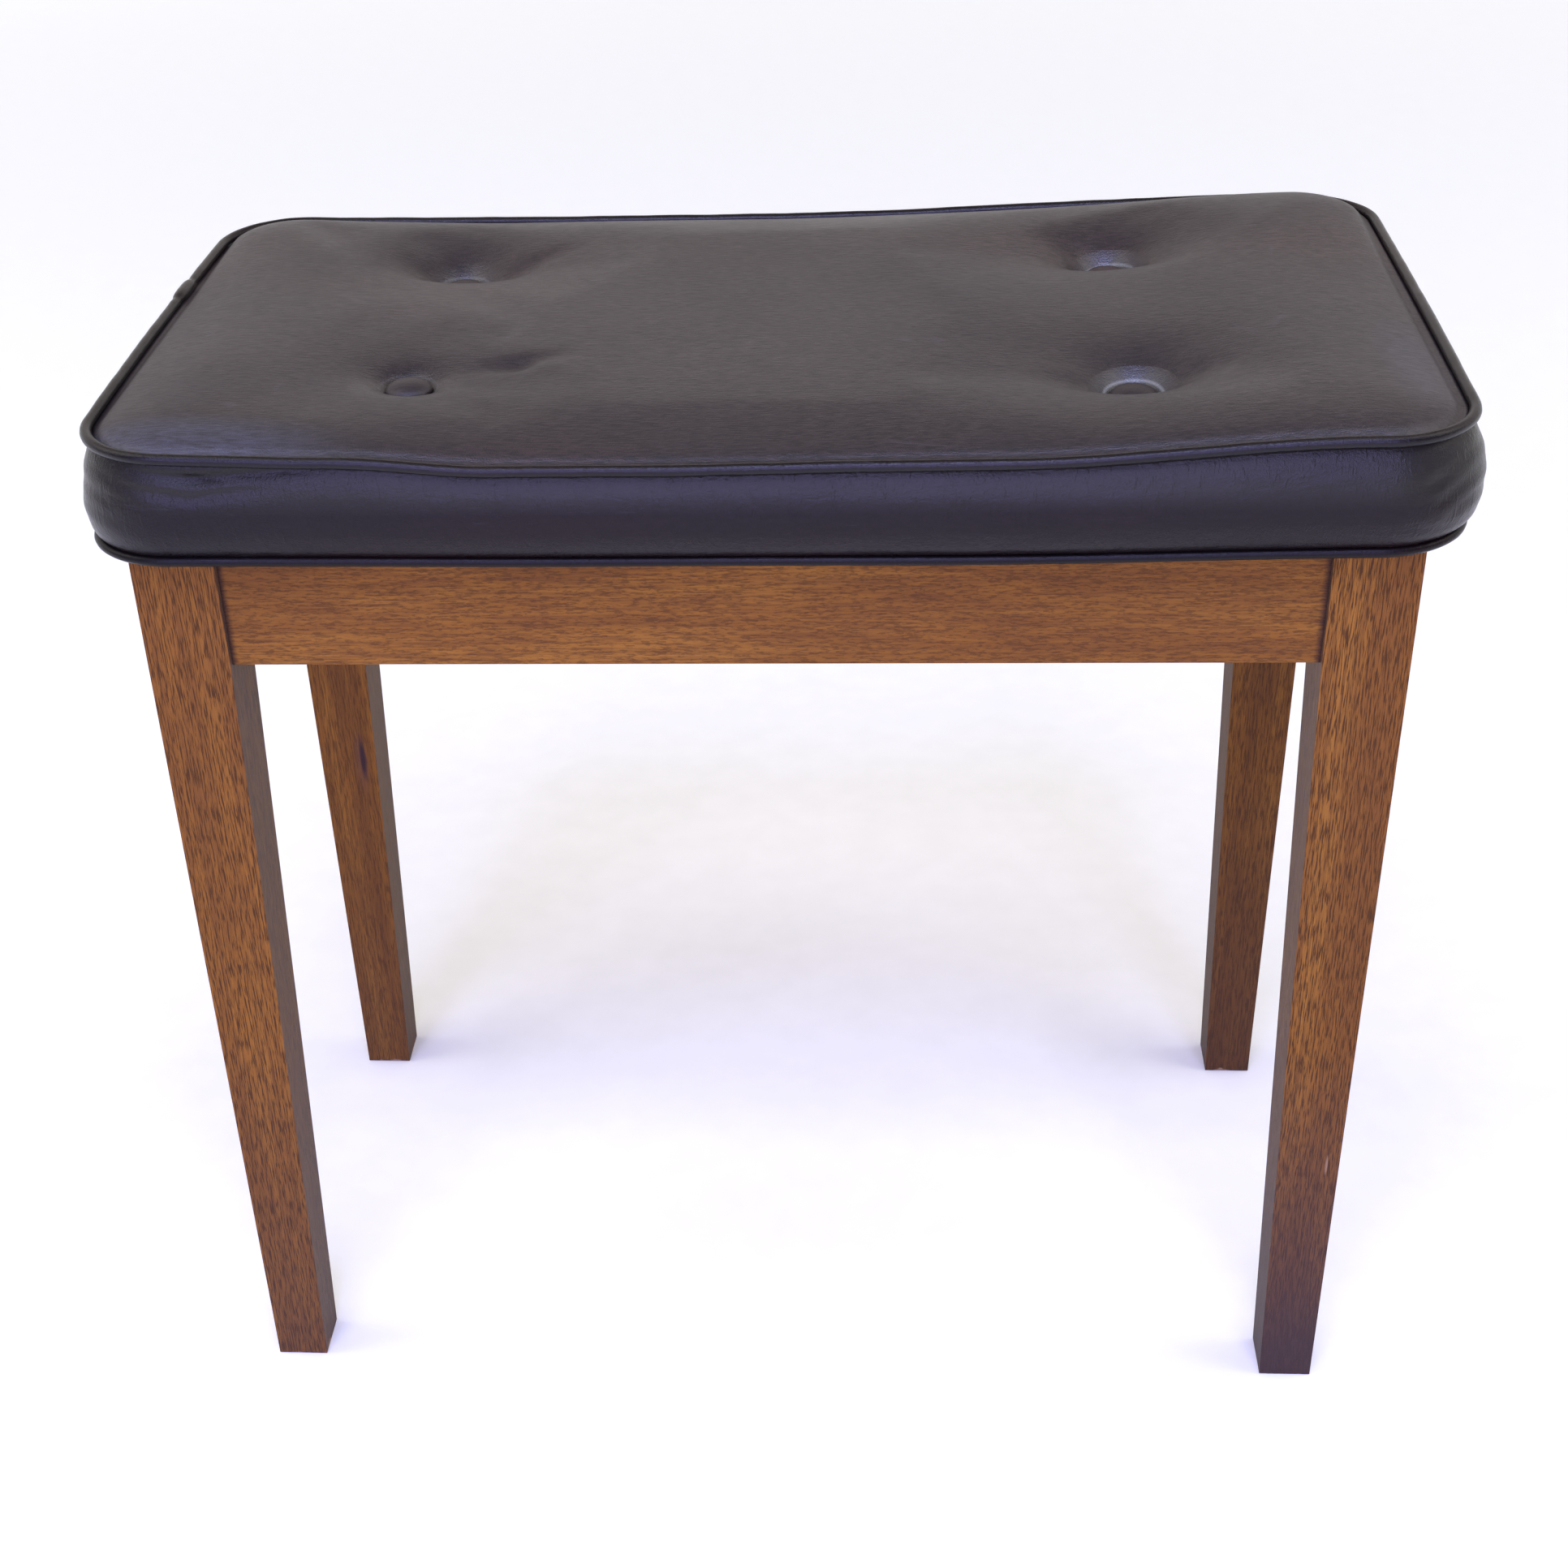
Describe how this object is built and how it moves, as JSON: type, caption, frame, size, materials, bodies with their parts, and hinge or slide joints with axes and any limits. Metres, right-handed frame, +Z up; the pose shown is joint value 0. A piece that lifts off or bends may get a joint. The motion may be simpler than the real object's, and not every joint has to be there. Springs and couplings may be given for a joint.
{
  "type": "piano bench",
  "caption": "Rectangular piano bench: a piped, boxed and button-tufted vinyl seat fixed on a beech frame with tapered legs.",
  "frame": {"origin": "on the floor, under the middle of the seat", "axes": "+X along the long side to the sitter's right as seen from the front, +Y from the front to the back, +Z up"},
  "size_m": [0.5688, 0.3108, 0.515],
  "materials": {
    "stained_beech": "mid-brown stain under a satin lacquer",
    "raw_beech": "bare, sawn",
    "plywood": "bare, sanded",
    "foam": "open-cell polyurethane foam",
    "vinyl": "finely grained leatherette, semi-matte",
    "piping_vinyl": "smooth leatherette over a cord, satin",
    "twine": "waxed upholstery twine",
    "steel": "zinc-plated, slightly dull"
  },
  "bodies": {
    "root": {"leg_front_left": "stained_beech", "leg_front_right": "stained_beech", "leg_back_left": "stained_beech", "leg_back_right": "stained_beech", "front_apron": "stained_beech", "back_apron": "stained_beech", "left_apron": "stained_beech", "right_apron": "stained_beech", "apron_dowels": "raw_beech", "corner_block_front_left": "raw_beech", "corner_block_front_right": "raw_beech", "corner_block_back_left": "raw_beech", "corner_block_back_right": "raw_beech", "corner_block_screws": "steel", "seat_fixing_screws": "steel", "seat_board": "plywood", "foam_pad": "foam", "top_cover": "vinyl", "boxing_band": "vinyl", "top_piping": "piping_vinyl", "bottom_piping": "piping_vinyl", "cover_margin": "vinyl", "cover_staples": "steel", "button_front_left": "vinyl", "button_front_right": "vinyl", "button_back_left": "vinyl", "button_back_right": "vinyl", "button_twines": "twine", "button_washers": "steel"}
  },
  "joints": []
}
